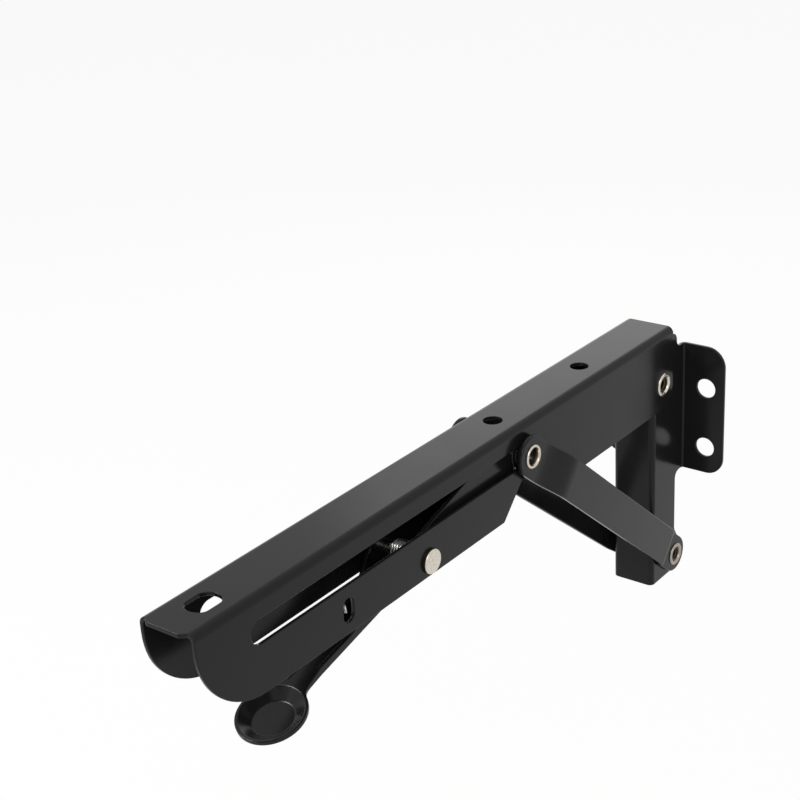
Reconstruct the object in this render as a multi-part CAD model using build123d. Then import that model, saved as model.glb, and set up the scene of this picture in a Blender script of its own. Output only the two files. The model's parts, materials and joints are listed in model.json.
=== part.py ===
from build123d import *
import os
from math import atan2, cos, degrees, radians, sin, sqrt, tan

# A folding shelf bracket, in millimetres.
# The origin is the centre of the four wall holes, on the wall plane.
# +X points away from the wall and +Z up. Right is +Y, as seen by someone who faces the wall.

# Clearances
SIDE_GAP = 0.3
FOOT_GAP = 0.15
PIN_GAP = 0.05
SLIDE_GAP = 0.15
CUT_OVER = 1.0

# Arm: a long channel, open downward
ARM_LENGTH = 300.0
ARM_WIDTH = 23.7
ARM_DEPTH = 36.0
ARM_SHEET = 1.5
ARM_BEND = 3.0
ARM_BACK = 14.5
ARM_TOP = 46.3
HEEL_RADIUS = 10.0
NOSE_DROP = 6.0
NOSE_SETBACK = 1.8
TONGUE_HALF = 7.0
TONGUE_ROUNDING = 1.5

# Wall bracket: an upright channel with two ears
WALL_SHEET = 1.5
WALL_DEPTH = 28.5
WALL_BEND = 2.5
WALL_TOP = 41.3
WALL_BOTTOM = -76.3
FLANGE_BACK = 7.75
EAR_SPAN = 60.1
EAR_TOP = 34.1
EAR_BOTTOM = -26.8
EAR_TOP_RADIUS = 9.0
EAR_BOTTOM_RADIUS = 8.0
EAR_NECK_RADIUS = 3.5
EAR_BEND = 1.0
WALL_HOLE = 9.0
WALL_HOLE_ACROSS = 42.4
WALL_HOLE_UP = 28.6
FOOT_LUG = 7.5
LUG_BOTTOM_RADIUS = 6.5
LUG_TOP_RADIUS = 3.75
LUG_TOP_OVER_FOOT = 3.75
LUG_SLOPE_OVER_FOOT = 11.25

# Linkage: the arm's pivot, the struts' feet and the slot that guides the struts' heads
PIVOT_OUT = 23.0
PIVOT_DROP = 24.05
FOOT_OUT = 10.9
FOOT_UP = -66.8
STRUT_LENGTH = 157.0
SLOT_DROP = 13.15
SLOT_WIDTH = 9.0
SLOT_FROM_NOSE = 30.5

# Struts: flat bars whose ends step inward
STRUT_SHEET = 2.0
STRUT_WIDTH = 16.7
STRUT_MIDDLE_GAP = 5.85
HEAD_GAP_LEFT = 5.15
HEAD_GAP_RIGHT = 1.65
HEAD_LAND = 10.5
HEAD_STEP_LENGTH = 14.5
FOOT_LAND = 10.0
FOOT_STEP = 3.0
FOOT_STEP_LENGTH = 4.0
STRUT_BEND = 4.0

# Holes in the arm
SHELF_HOLE = 7.5
SHELF_HOLES_FROM_REAR = (58.4, 121.4)
SHELF_SLOT_FROM_NOSE = 17.5
SHELF_SLOT_LENGTH = 13.0
HOOK_HOLE_FROM_LEVER = 46.5
HOOK_HOLE_LIFT = 8.8
HOOK_HOLE_WIDTH = 5.7
HOOK_HOLE_HEIGHT = 9.4

# Notch in the arm's lower edges, for the struts' feet when the arm is folded
NOTCH_REAR = 18.0
NOTCH_FRONT = 35.0
NOTCH_RISE = 12.5
NOTCH_CORNER = 1.0
NOTCH_ROUNDING = 2.0

# Rivets
RIVET_SHANK = 5.2
RIVET_BORE = 4.0
RIVET_MOUTH = 6.0
RIVET_FLARE = 10.4
RIVET_RING = 0.7
RIVET_TAIL = 0.4
RIVET_SLOPE = 0.35
LEVER_PIN = 6.0
HEAD_SHANK = 7.4
HEAD_BORE = 6.2
HEAD_MOUTH = 6.8
HEAD_FLARE = 9.6
LEVER_RIVET_HEAD = 9.6
LEVER_RIVET_PROUD = 1.5
LEVER_WASHER = 11.4

# Bushes that slide in the slots
BUSH_FLANGE = 12.4
BUSH_FLANGE_THICK = 0.85
SPACER_OUTER = 13.0

# Release lever: a pressed channel with a dished thumb pad
LEVER_FROM_HEAD = 62.5
LEVER_LIFT = 6.0
LEVER_DROOP = 13.6
LEVER_SHEET = 1.6
LEVER_HALF = 9.0
LEVER_FLOOR = 6.74
CHEEK_TOP = 12.0
CHEEK_FRONT_TOP = 10.2
CATCH_GAP = 0.3
CHEEK_REAR_RADIUS = 24.0
CHEEK_FRONT_RADIUS = 12.0
LIP_RADIUS = 6.0
TAPER_START = 9.0
TAPER_END = 21.0
TAPER_RADIUS = 4.5
NECK_HALF = 5.2
NECK_BEND = 57.7
LIP_START = 40.0
LIP_HEIGHT = 3.0
LIP_TAPER = 9.0
LIP_END_RADIUS = 3.0
LIP_END = 67.0
FLARE_RADIUS = 5.2
FLARE_ROUNDING = 4.7
PAD_TURN = 3.4
PAD_OUT = 80.45
PAD_RADIUS = 13.0
DISH_MOUTH = 12.0
DISH_BOTTOM = 7.75
DISH_DEPTH = 3.34
DISH_ROUNDING = 1.5

# Torsion spring on the lever's sleeve
WIRE = 1.0
COIL_RADIUS = 4.4
COIL_TURNS = 6
COIL_PITCH = 1.2
SLEEVE_OUTER = 7.4
HOOK_SETBACK = 1.0
HOOK_LENGTH = 2.7
HOOK_REACH = 6.0

# Worked out from the values above
ARM_HALF = ARM_WIDTH / 2
ARM_INNER = ARM_HALF - ARM_SHEET
ARM_FRONT = ARM_BACK + ARM_LENGTH
ARM_BOTTOM = ARM_TOP - ARM_DEPTH
WALL_HALF = ARM_INNER - SIDE_GAP
WALL_INNER = WALL_HALF - WALL_SHEET
PIVOT_UP = ARM_TOP - PIVOT_DROP
SLOT_UP = ARM_TOP - SLOT_DROP
HEAD_OUT = FOOT_OUT + sqrt(STRUT_LENGTH**2 - (SLOT_UP - FOOT_UP) ** 2)
STRUT_ANGLE = degrees(atan2(SLOT_UP - FOOT_UP, HEAD_OUT - FOOT_OUT))
NOTCH_OUT = PIVOT_OUT + PIVOT_UP - FOOT_UP
STRUT_FOOT_INNER = WALL_HALF + FOOT_GAP
STRUT_HALF = STRUT_WIDTH / 2
PIVOT_HOLE = RIVET_SHANK + 2 * PIN_GAP
HEAD_HOLE = HEAD_SHANK + 2 * PIN_GAP
LEVER_HOLE = LEVER_PIN + 2 * PIN_GAP
BUSH_SHANK = SLOT_WIDTH - 2 * SLIDE_GAP
LEVER_RIVET_SLOPE = LEVER_RIVET_PROUD / 3
HEAD_TO_LEVER = sqrt(LEVER_FROM_HEAD**2 + (ARM_DEPTH - LEVER_LIFT - SLOT_DROP) ** 2)
CATCH_REACH = HEAD_TO_LEVER - BUSH_SHANK / 2 - CATCH_GAP
LEVER_TOP = LEVER_SHEET - LEVER_FLOOR
PAD_SLOPE = tan(radians(PAD_TURN))
PAD_TOP = LEVER_TOP - (PAD_OUT - NECK_BEND) * PAD_SLOPE
BUSH_INNER = ARM_INNER - SLIDE_GAP - BUSH_FLANGE_THICK
LEVER_OUT = HEAD_OUT + LEVER_FROM_HEAD
LEVER_UP = ARM_BOTTOM + LEVER_LIFT
HOOK_HOLE_OUT = LEVER_OUT + HOOK_HOLE_FROM_LEVER
HOOK_HOLE_UP = ARM_BOTTOM + HOOK_HOLE_LIFT
SIDES = {"left": -1, "right": 1}

# The pin through the struts' heads has side play, and stands towards the left
HEAD_INNER = {"left": ARM_HALF + HEAD_GAP_LEFT, "right": ARM_HALF + HEAD_GAP_RIGHT}


def outline(*corners):
    """Closed flat outline from (across, up, rounding) corners."""
    points = [(across, up) for across, up, _ in corners]
    radii = [rounding for _, _, rounding in corners]
    return make_face(FilletPolyline(*points, radius=radii, close=True))


def side_prism(face, half_width):
    """Solid from an outline in the XZ plane, spread to both sides of the middle plane."""
    return extrude(Plane.XZ * face, amount=half_width, both=True)


def cross_bar(out, up, diameter, start, end):
    """Round bar or hole across the bracket, between two distances from the middle plane."""
    end_plane = Plane(origin=(out, start, up), x_dir=(1, 0, 0), z_dir=(0, 1, 0))
    return extrude(end_plane * Circle(diameter / 2), amount=end - start)


def turned(out, up, side, *corners):
    """Turned piece on a cross axis, from (distance from the middle plane, radius, rounding) corners."""
    profile_plane = Plane(origin=(out, 0, up), x_dir=(0, side, 0), z_dir=(1, 0, 0))
    return revolve(profile_plane * outline(*corners), axis=Axis((out, 0, up), (0, 1, 0)))


def hollow_rivet(out, up, side, shank, bore, mouth, flare, start, seat_in, seat_out):
    """Hollow rivet with a flared ring outside seat_out and, where it has one, a tail ring inside seat_in."""
    ring = seat_out + RIVET_RING
    corners = [
        (start, bore / 2, 0),
        (seat_out, bore / 2, 0),
        (ring, mouth / 2, 0),
        (ring, flare / 2 - RIVET_SLOPE, 0),
        (ring - RIVET_SLOPE, flare / 2, 0),
        (seat_out, flare / 2, 0),
        (seat_out, shank / 2, 0),
    ]
    if start < seat_in:
        tail = shank / 2 + RIVET_TAIL
        corners += [(seat_in, shank / 2, 0), (seat_in, tail, 0), (start, tail, 0)]
    else:
        corners += [(start, shank / 2, 0)]
    return turned(out, up, side, *corners)


def spacer(out, up, side, bore, outer, start, end):
    """Flat ring between two distances from the middle plane."""
    return turned(
        out, up, side, (start, bore / 2, 0), (end, bore / 2, 0), (end, outer / 2, 0), (start, outer / 2, 0)
    )


def wall_bracket():
    """Upright channel, folded outward at the back into two ears with screw holes."""
    tip = EAR_SPAN / 2
    back_bend = EAR_BEND + WALL_SHEET
    inner_bend = WALL_BEND - WALL_SHEET
    half = [
        (0, tip, 0),
        (WALL_SHEET, tip, 0),
        (WALL_SHEET, WALL_HALF, EAR_BEND),
        (WALL_DEPTH, WALL_HALF, WALL_BEND),
    ]
    inside = [
        (WALL_DEPTH - WALL_SHEET, WALL_INNER, inner_bend),
        (0, WALL_INNER, back_bend),
    ]
    other_half = [(out, -across, rounding) for out, across, rounding in reversed(half)]
    other_inside = [(out, -across, rounding) for out, across, rounding in reversed(inside)]
    section = outline(*half, *other_half, *other_inside, *inside)
    folded = extrude(Plane.XY.offset(WALL_BOTTOM) * section, amount=WALL_TOP - WALL_BOTTOM)
    lug_back = FOOT_OUT - FOOT_LUG
    side = outline(
        (WALL_DEPTH + CUT_OVER, WALL_TOP, 0),
        (WALL_DEPTH + CUT_OVER, WALL_BOTTOM, 0),
        (lug_back, WALL_BOTTOM, LUG_BOTTOM_RADIUS),
        (lug_back, FOOT_UP + LUG_TOP_OVER_FOOT, LUG_TOP_RADIUS),
        (FLANGE_BACK, FOOT_UP + LUG_SLOPE_OVER_FOOT, EAR_NECK_RADIUS),
        (FLANGE_BACK, EAR_BOTTOM, EAR_NECK_RADIUS),
        (-CUT_OVER, EAR_BOTTOM, 0),
        (-CUT_OVER, EAR_TOP, 0),
        (FLANGE_BACK, EAR_TOP, EAR_NECK_RADIUS),
        (FLANGE_BACK, WALL_TOP, EAR_NECK_RADIUS),
    )
    ears = outline(
        (-tip, EAR_BOTTOM, EAR_BOTTOM_RADIUS),
        (tip, EAR_BOTTOM, EAR_BOTTOM_RADIUS),
        (tip, EAR_TOP, EAR_TOP_RADIUS),
        (-tip, EAR_TOP, EAR_TOP_RADIUS),
    )
    front_view = Plane(origin=(0, 0, 0), x_dir=(0, 1, 0), z_dir=(1, 0, 0))
    ear_prism = extrude(front_view * ears, amount=WALL_DEPTH)
    middle = Pos(WALL_DEPTH / 2, 0, (WALL_TOP + WALL_BOTTOM) / 2) * Box(
        WALL_DEPTH, 2 * WALL_HALF, WALL_TOP - WALL_BOTTOM
    )
    body = folded & side_prism(side, tip) & (ear_prism + middle)
    for across in (-WALL_HOLE_ACROSS / 2, WALL_HOLE_ACROSS / 2):
        for up in (-WALL_HOLE_UP / 2, WALL_HOLE_UP / 2):
            hole = front_view * Pos(across, up) * Circle(WALL_HOLE / 2)
            body -= extrude(hole, amount=2 * WALL_SHEET)
    body -= cross_bar(PIVOT_OUT, PIVOT_UP, PIVOT_HOLE, -tip, tip)
    body -= cross_bar(FOOT_OUT, FOOT_UP, PIVOT_HOLE, -tip, tip)
    return body


def arm_channel():
    """Long channel, open downward, with slots, notches and a rounded nose."""
    inner_bend = ARM_BEND - ARM_SHEET
    section = outline(
        (-ARM_HALF, -ARM_DEPTH, 0),
        (-ARM_HALF, 0, ARM_BEND),
        (ARM_HALF, 0, ARM_BEND),
        (ARM_HALF, -ARM_DEPTH, 0),
        (ARM_INNER, -ARM_DEPTH, 0),
        (ARM_INNER, -ARM_SHEET, inner_bend),
        (-ARM_INNER, -ARM_SHEET, inner_bend),
        (-ARM_INNER, -ARM_DEPTH, 0),
    )
    rear_plane = Plane(origin=(ARM_BACK, 0, ARM_TOP), x_dir=(0, 1, 0), z_dir=(1, 0, 0))
    folded = extrude(rear_plane * section, amount=ARM_LENGTH)
    flange_front = ARM_FRONT - NOSE_SETBACK
    under_web = ARM_TOP - 2 * ARM_SHEET
    notch_top = ARM_BOTTOM + NOTCH_RISE
    side = outline(
        (ARM_BACK, ARM_TOP, 0),
        (ARM_BACK, ARM_BOTTOM, HEEL_RADIUS),
        (NOTCH_OUT - NOTCH_REAR, ARM_BOTTOM, NOTCH_CORNER),
        (NOTCH_OUT - NOTCH_REAR + NOTCH_RISE, notch_top, NOTCH_ROUNDING),
        (NOTCH_OUT + NOTCH_FRONT - NOTCH_RISE, notch_top, NOTCH_ROUNDING),
        (NOTCH_OUT + NOTCH_FRONT, ARM_BOTTOM, NOTCH_CORNER),
        (flange_front, ARM_BOTTOM, ARM_DEPTH - NOSE_DROP),
        (flange_front, under_web, 0),
        (ARM_FRONT, under_web, 0),
        (ARM_FRONT, ARM_TOP, 0),
    )
    tongue = TONGUE_HALF + NOSE_SETBACK
    above = outline(
        (ARM_BACK, -ARM_WIDTH, 0),
        (flange_front, -ARM_WIDTH, 0),
        (flange_front, -tongue, TONGUE_ROUNDING),
        (ARM_FRONT, -TONGUE_HALF, TONGUE_ROUNDING),
        (ARM_FRONT, TONGUE_HALF, TONGUE_ROUNDING),
        (flange_front, tongue, TONGUE_ROUNDING),
        (flange_front, ARM_WIDTH, 0),
        (ARM_BACK, ARM_WIDTH, 0),
    )
    above_prism = extrude(Plane.XY.offset(ARM_BOTTOM) * above, amount=ARM_DEPTH)
    body = folded & side_prism(side, ARM_WIDTH) & above_prism
    slot_rear = HEAD_OUT - SLIDE_GAP
    slot_front = ARM_FRONT - SLOT_FROM_NOSE
    slot = Pos((slot_rear + slot_front) / 2, SLOT_UP) * SlotCenterToCenter(slot_front - slot_rear, SLOT_WIDTH)
    body -= side_prism(slot, ARM_WIDTH)
    hook_hole = SlotOverall(HOOK_HOLE_HEIGHT, HOOK_HOLE_WIDTH, rotation=90)
    body -= extrude(Plane.XZ * Pos(HOOK_HOLE_OUT, HOOK_HOLE_UP) * hook_hole, amount=-ARM_WIDTH)
    web = Plane.XY.offset(under_web)
    for from_rear in SHELF_HOLES_FROM_REAR:
        body -= extrude(web * Pos(ARM_BACK + from_rear, 0) * Circle(SHELF_HOLE / 2), amount=3 * ARM_SHEET)
    long_hole = Pos(ARM_FRONT - SHELF_SLOT_FROM_NOSE, 0) * SlotOverall(SHELF_SLOT_LENGTH, SHELF_HOLE)
    body -= extrude(web * long_hole, amount=3 * ARM_SHEET)
    body -= cross_bar(PIVOT_OUT, PIVOT_UP, PIVOT_HOLE, -ARM_WIDTH, ARM_WIDTH)
    body -= cross_bar(LEVER_OUT, LEVER_UP, LEVER_HOLE, -ARM_WIDTH, ARM_WIDTH)
    return body


def strut(head_inner):
    """Right strut: a flat bar, stepped inward at its foot, and at its head as far as head_inner."""
    head = head_inner + STRUT_SHEET
    middle = ARM_HALF + STRUT_MIDDLE_GAP + STRUT_SHEET
    foot = STRUT_FOOT_INNER + STRUT_SHEET
    foot_step = STRUT_LENGTH - FOOT_LAND
    path = FilletPolyline(
        (-STRUT_HALF - CUT_OVER, head),
        (HEAD_LAND, head),
        (HEAD_LAND + HEAD_STEP_LENGTH, middle),
        (foot_step - FOOT_STEP_LENGTH, foot + FOOT_STEP),
        (foot_step, foot),
        (STRUT_LENGTH + STRUT_HALF + CUT_OVER, foot),
        radius=STRUT_BEND,
    )
    profile = make_face(offset(path, amount=STRUT_SHEET, side=Side.RIGHT, closed=True))
    along = Vector(-cos(radians(STRUT_ANGLE)), 0, -sin(radians(STRUT_ANGLE)))
    edge_plane = Plane(origin=(HEAD_OUT, 0, SLOT_UP), x_dir=along, z_dir=along.cross(Vector(0, 1, 0)))
    bar = extrude(edge_plane * profile, amount=STRUT_WIDTH, both=True)
    face_plane = Plane(origin=(HEAD_OUT, 0, SLOT_UP), x_dir=along, z_dir=(0, 1, 0))
    shape = Pos(STRUT_LENGTH / 2, 0) * SlotCenterToCenter(STRUT_LENGTH, STRUT_WIDTH)
    bar &= extrude(face_plane * shape, amount=2 * ARM_WIDTH)
    bar -= cross_bar(HEAD_OUT, SLOT_UP, HEAD_HOLE, 0, 2 * ARM_WIDTH)
    bar -= cross_bar(FOOT_OUT, FOOT_UP, PIVOT_HOLE, 0, 2 * ARM_WIDTH)
    return bar


def lever_plan(inset, *front):
    """Outline of the lever from above: wide cheeks, a taper to the neck, then the front corners."""
    half = [
        (-CATCH_REACH - CUT_OVER, LEVER_HALF - inset, 0),
        (TAPER_START, LEVER_HALF - inset, TAPER_RADIUS),
        (TAPER_END, NECK_HALF - inset, TAPER_RADIUS),
        *front,
    ]
    other_half = [(along, -across, rounding) for along, across, rounding in reversed(half)]
    return outline(*half, *other_half)


def pad_bowl(pad_plane):
    """The pad's dish: its pressed-down wall and floor, and the space inside it."""
    slope = atan2(DISH_DEPTH, DISH_MOUTH - DISH_BOTTOM)
    wider = LEVER_SHEET * tan(slope / 2)
    middle = -LEVER_SHEET / 2
    wall = outline(
        (0, middle, 0),
        (DISH_MOUTH + wider, middle, 0),
        (DISH_MOUTH + wider, -LEVER_SHEET, 0),
        (DISH_BOTTOM + wider, -DISH_DEPTH - LEVER_SHEET, DISH_ROUNDING + LEVER_SHEET),
        (0, -DISH_DEPTH - LEVER_SHEET, 0),
    )
    space = outline(
        (0, LEVER_SHEET, 0),
        (PAD_RADIUS, LEVER_SHEET, 0),
        (PAD_RADIUS, 0, 0),
        (DISH_MOUTH, 0, DISH_ROUNDING),
        (DISH_BOTTOM, -DISH_DEPTH, DISH_ROUNDING),
        (0, -DISH_DEPTH, 0),
    )
    section = Plane(origin=pad_plane.origin, x_dir=pad_plane.x_dir, z_dir=-pad_plane.y_dir)
    axis = Axis(pad_plane.origin, pad_plane.z_dir)
    return revolve(section * wall, axis=axis), revolve(section * space, axis=axis)


def release_lever():
    """Pressed lever: a channel round its rivet, a narrow neck and a dished thumb pad."""
    lip_top = LIP_HEIGHT - LEVER_FLOOR
    lip_sink = (LIP_END - NECK_BEND) * PAD_SLOPE
    pad_end = PAD_OUT + PAD_RADIUS + CUT_OVER
    pad_sink = (pad_end - NECK_BEND) * PAD_SLOPE
    flare_back = sqrt((PAD_RADIUS + FLARE_RADIUS) ** 2 - (NECK_HALF + FLARE_RADIUS) ** 2)
    share = PAD_RADIUS / (PAD_RADIUS + FLARE_RADIUS)
    touch_back = flare_back * share
    touch_half = (NECK_HALF + FLARE_RADIUS) * share
    corner_back = touch_back + (touch_half - NECK_HALF) * touch_half / touch_back
    flare = [
        (PAD_OUT - corner_back, NECK_HALF, FLARE_ROUNDING),
        (PAD_OUT - touch_back, touch_half, 0),
        (PAD_OUT, touch_half, 0),
    ]
    plan = lever_plan(0, *flare) + Pos(PAD_OUT, 0) * Circle(PAD_RADIUS)
    side = outline(
        (-CATCH_REACH - CUT_OVER, -LEVER_FLOOR, 0),
        (-CATCH_REACH - CUT_OVER, CHEEK_TOP, 0),
        (-CATCH_REACH / 2, CHEEK_TOP, CHEEK_REAR_RADIUS),
        (0, CHEEK_FRONT_TOP, CHEEK_FRONT_RADIUS),
        (LIP_START, lip_top, LIP_RADIUS),
        (LIP_END - LIP_TAPER, lip_top, LIP_END_RADIUS),
        (LIP_END, LEVER_TOP - lip_sink, 0),
        (pad_end, LEVER_TOP - pad_sink, 0),
        (pad_end, -LEVER_FLOOR - pad_sink, 0),
        (NECK_BEND, -LEVER_FLOOR, 0),
    )
    above_floor = outline(
        (-CATCH_REACH - CUT_OVER, LEVER_TOP, 0),
        (-CATCH_REACH - CUT_OVER, 2 * CHEEK_TOP, 0),
        (LIP_END, 2 * CHEEK_TOP, 0),
        (LIP_END, LEVER_TOP - lip_sink, 0),
        (NECK_BEND, LEVER_TOP, 0),
    )
    inner_plan = lever_plan(LEVER_SHEET, (LIP_END, NECK_HALF - LEVER_SHEET, 0))
    low = Plane.XY.offset(-2 * CHEEK_TOP)
    channel = extrude(low * plan, amount=4 * CHEEK_TOP) & side_prism(side, PAD_RADIUS + CUT_OVER)
    channel -= extrude(low * inner_plan, amount=4 * CHEEK_TOP) & side_prism(above_floor, LEVER_HALF)
    catch = Circle(CATCH_REACH) + Pos(ARM_LENGTH / 2, 0) * Rectangle(ARM_LENGTH, ARM_LENGTH)
    channel &= side_prism(catch, PAD_RADIUS + CUT_OVER)
    turn = radians(PAD_TURN)
    pad_along = Vector(cos(turn), 0, -sin(turn))
    pad_normal = Vector(sin(turn), 0, cos(turn))
    pad_plane = Plane(origin=(PAD_OUT, 0, PAD_TOP), x_dir=pad_along, z_dir=pad_normal)
    wall, space = pad_bowl(pad_plane)
    lever = channel + wall - space
    lever -= cross_bar(0, 0, LEVER_HOLE, -ARM_WIDTH, ARM_WIDTH)
    return Location((LEVER_OUT, 0, LEVER_UP), (0, LEVER_DROOP, 0)) * lever


def lever_rivet():
    """Solid rivet through both sides of the arm, with a low head each side."""
    head = ARM_HALF + LEVER_RIVET_PROUD
    rim = ARM_HALF + LEVER_RIVET_PROUD - LEVER_RIVET_SLOPE
    half = [
        (head, 0, 0),
        (head, LEVER_RIVET_HEAD / 2 - LEVER_RIVET_SLOPE, 0),
        (rim, LEVER_RIVET_HEAD / 2, 0),
        (ARM_HALF, LEVER_RIVET_HEAD / 2, 0),
        (ARM_HALF, LEVER_PIN / 2, 0),
    ]
    other_half = [(-across, radius, rounding) for across, radius, rounding in reversed(half)]
    return turned(LEVER_OUT, LEVER_UP, 1, *half, *other_half)


def wire_along(path):
    """Wire that follows a path. Its section has six sides, so that its mesh stays light."""
    start = Plane(origin=path @ 0, z_dir=path % 0)
    return sweep(start * RegularPolygon(WIRE / 2, side_count=6), path=path, is_frenet=True)


def lever_spring():
    """Torsion spring: a coil on the sleeve, one leg on the lever's floor and one hooked in the arm's side."""
    coil_length = COIL_TURNS * COIL_PITCH
    half_coil = coil_length / 2
    pivot = Vector(LEVER_OUT, 0, LEVER_UP)
    droop = radians(LEVER_DROOP)
    forward = Vector(cos(droop), 0, -sin(droop))
    upward = Vector(sin(droop), 0, cos(droop))
    turns = COIL_TURNS + 0.5 - LEVER_DROOP / 360
    coil_plane = Plane(origin=pivot - Vector(0, half_coil, 0), x_dir=-upward, z_dir=(0, 1, 0))
    coil = wire_along(
        coil_plane.location * Helix(pitch=coil_length / turns, height=coil_length, radius=COIL_RADIUS)
    )
    foot_start = pivot - upward * COIL_RADIUS - Vector(0, half_coil, 0)
    foot_leg = extrude(Plane(origin=foot_start, z_dir=forward) * Circle(WIRE / 2), amount=2 * LEVER_HALF)
    hook_start = pivot + Vector(0, half_coil, COIL_RADIUS)
    hook_out = HOOK_HOLE_OUT - HOOK_SETBACK
    route = FilletPolyline(
        hook_start,
        (hook_out - HOOK_REACH, half_coil, HOOK_HOLE_UP),
        (hook_out, ARM_HALF - WIRE / 2, HOOK_HOLE_UP),
        (hook_out, ARM_HALF - WIRE / 2, HOOK_HOLE_UP - HOOK_LENGTH),
        radius=WIRE,
    )
    hook_leg = sweep(Plane(origin=route @ 0, z_dir=route % 0) * Circle(WIRE / 2), path=route)
    return coil + foot_leg + hook_leg


def build():
    """Every node of the bracket by name."""
    sleeve_end = LEVER_HALF - LEVER_SHEET - SLIDE_GAP
    washer_end = ARM_INNER - SLIDE_GAP
    nodes = {
        "wall_bracket": wall_bracket(),
        "arm_channel": arm_channel(),
        "strut_right": strut(HEAD_INNER["right"]),
        "strut_left": mirror(strut(HEAD_INNER["left"]), about=Plane.XZ),
        "release_lever": release_lever(),
        "lever_rivet": lever_rivet(),
        "lever_sleeve": spacer(LEVER_OUT, LEVER_UP, 1, LEVER_HOLE, SLEEVE_OUTER, -sleeve_end, sleeve_end),
        "lever_spring": lever_spring(),
    }
    for name, side in SIDES.items():
        head_inner = HEAD_INNER[name]
        nodes["arm_pivot_rivet_" + name] = hollow_rivet(
            PIVOT_OUT, PIVOT_UP, side, RIVET_SHANK, RIVET_BORE, RIVET_MOUTH, RIVET_FLARE,
            WALL_INNER - RIVET_TAIL, WALL_INNER, ARM_HALF,
        )
        nodes["strut_foot_rivet_" + name] = hollow_rivet(
            FOOT_OUT, FOOT_UP, side, RIVET_SHANK, RIVET_BORE, RIVET_MOUTH, RIVET_FLARE,
            WALL_INNER - RIVET_TAIL, WALL_INNER, STRUT_FOOT_INNER + STRUT_SHEET,
        )
        nodes["strut_head_rivet_" + name] = hollow_rivet(
            HEAD_OUT, SLOT_UP, side, HEAD_SHANK, HEAD_BORE, HEAD_MOUTH, HEAD_FLARE,
            head_inner, head_inner, head_inner + STRUT_SHEET,
        )
        nodes["slot_bush_" + name] = turned(
            HEAD_OUT, SLOT_UP, side,
            (BUSH_INNER, HEAD_BORE / 2, 0),
            (head_inner - SLIDE_GAP, HEAD_BORE / 2, 0),
            (head_inner - SLIDE_GAP, BUSH_SHANK / 2, 0),
            (BUSH_INNER + BUSH_FLANGE_THICK, BUSH_SHANK / 2, 0),
            (BUSH_INNER + BUSH_FLANGE_THICK, BUSH_FLANGE / 2, 0),
            (BUSH_INNER, BUSH_FLANGE / 2, 0),
        )
        nodes["slot_washer_" + name] = spacer(
            HEAD_OUT, SLOT_UP, side, BUSH_SHANK + 2 * PIN_GAP, SPACER_OUTER,
            ARM_HALF + SLIDE_GAP, HEAD_INNER["right"] - SLIDE_GAP,
        )
        nodes["lever_washer_" + name] = spacer(
            LEVER_OUT, LEVER_UP, side, LEVER_HOLE, LEVER_WASHER, LEVER_HALF + SLIDE_GAP, washer_end,
        )
    return nodes


if __name__ == "__main__":
    os.makedirs("parts", exist_ok=True)
    for name, shape in build().items():
        export_step(shape, f"parts/{name}.step")
    print("strut angle", round(STRUT_ANGLE, 3))
    print("head out", round(HEAD_OUT, 3), "notch out", round(NOTCH_OUT, 3), "lever out", round(LEVER_OUT, 3))
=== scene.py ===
import json
from math import cos, pi, radians, sin

import bpy
from bpy.props import FloatProperty, FloatVectorProperty, IntProperty, PointerProperty
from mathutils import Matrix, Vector

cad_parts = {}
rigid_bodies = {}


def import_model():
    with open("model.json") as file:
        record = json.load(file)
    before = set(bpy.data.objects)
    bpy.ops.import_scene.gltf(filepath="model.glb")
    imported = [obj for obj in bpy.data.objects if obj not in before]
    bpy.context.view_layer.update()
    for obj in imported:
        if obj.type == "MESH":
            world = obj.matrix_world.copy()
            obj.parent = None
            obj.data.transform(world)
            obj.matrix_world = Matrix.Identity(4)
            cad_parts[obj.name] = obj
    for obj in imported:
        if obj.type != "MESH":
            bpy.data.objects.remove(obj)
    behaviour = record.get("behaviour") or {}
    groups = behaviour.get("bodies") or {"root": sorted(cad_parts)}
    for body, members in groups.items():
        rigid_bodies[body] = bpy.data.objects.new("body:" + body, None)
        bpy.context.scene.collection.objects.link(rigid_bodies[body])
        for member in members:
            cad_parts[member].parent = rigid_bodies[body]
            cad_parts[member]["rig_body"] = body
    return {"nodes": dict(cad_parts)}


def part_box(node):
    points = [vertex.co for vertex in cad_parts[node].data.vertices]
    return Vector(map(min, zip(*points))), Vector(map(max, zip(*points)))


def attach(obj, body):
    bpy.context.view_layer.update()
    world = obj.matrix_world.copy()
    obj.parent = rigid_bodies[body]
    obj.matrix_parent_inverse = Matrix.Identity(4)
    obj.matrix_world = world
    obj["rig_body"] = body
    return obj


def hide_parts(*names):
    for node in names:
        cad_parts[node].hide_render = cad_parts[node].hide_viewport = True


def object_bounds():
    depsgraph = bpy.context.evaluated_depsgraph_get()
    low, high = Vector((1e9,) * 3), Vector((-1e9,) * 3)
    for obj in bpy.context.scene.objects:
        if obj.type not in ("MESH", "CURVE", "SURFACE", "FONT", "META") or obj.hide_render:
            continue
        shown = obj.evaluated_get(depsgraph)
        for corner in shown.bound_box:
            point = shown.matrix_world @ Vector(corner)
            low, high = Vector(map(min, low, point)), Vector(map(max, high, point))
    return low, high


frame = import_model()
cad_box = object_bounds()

bl_info = {
    "name": "Folding shelf bracket",
    "version": (1, 0, 0),
    "blender": (4, 5, 0),
    "location": "3D View > Sidebar > Bracket",
    "description": "Dresses a folding shelf bracket with its coat, rivets, spring and a plain studio",
    "category": "Object",
}

MM = 0.001
SIDES = {"left": -1, "right": 1}

# Merged copies of CAD nodes: what counts as one point, as near a face, as flat, as a cut edge and as a smooth bend.
MERGE_REACH = 0.002 * MM
PICK_REACH = 0.2 * MM
FLAT_ANGLE = radians(0.3)
CUT_ANGLE = radians(40)
BEND_ANGLE = radians(35)
ROUNDING_STEPS = 3

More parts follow.
